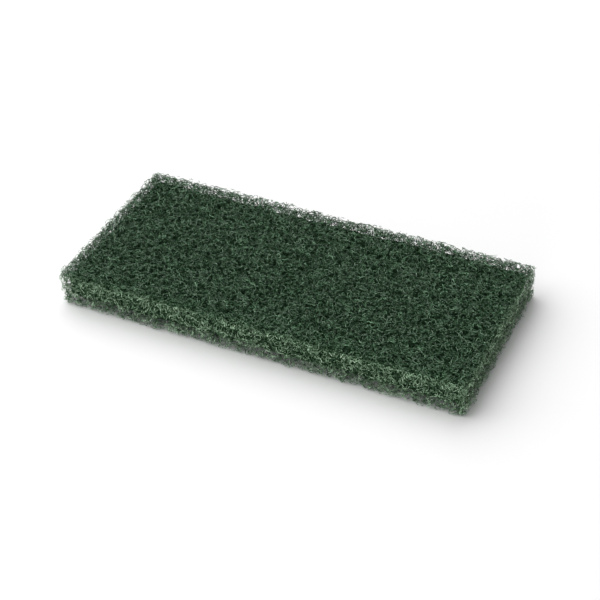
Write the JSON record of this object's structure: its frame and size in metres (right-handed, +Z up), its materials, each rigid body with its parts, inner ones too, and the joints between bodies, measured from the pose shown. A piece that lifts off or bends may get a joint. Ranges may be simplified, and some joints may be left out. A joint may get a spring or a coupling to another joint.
{
  "type": "abrasive cleaning pad",
  "caption": "Flat rectangular hand pad of open nonwoven fibre web bonded with resin, die-cut with softly rounded corners, for scouring floors, tiles and worktops.",
  "frame": {"origin": "middle of the pad's outline, on the surface that its lower face lies on", "axes": "+X along the length, +Y across the width, +Z up through the thickness"},
  "size_m": [0.25, 0.115, 0.022],
  "materials": {
    "web": "matte dark green, coarse open web of curled fibres with abrasive resin"
  },
  "bodies": {
    "root": {"abrasive_web": "web"}
  },
  "joints": []
}
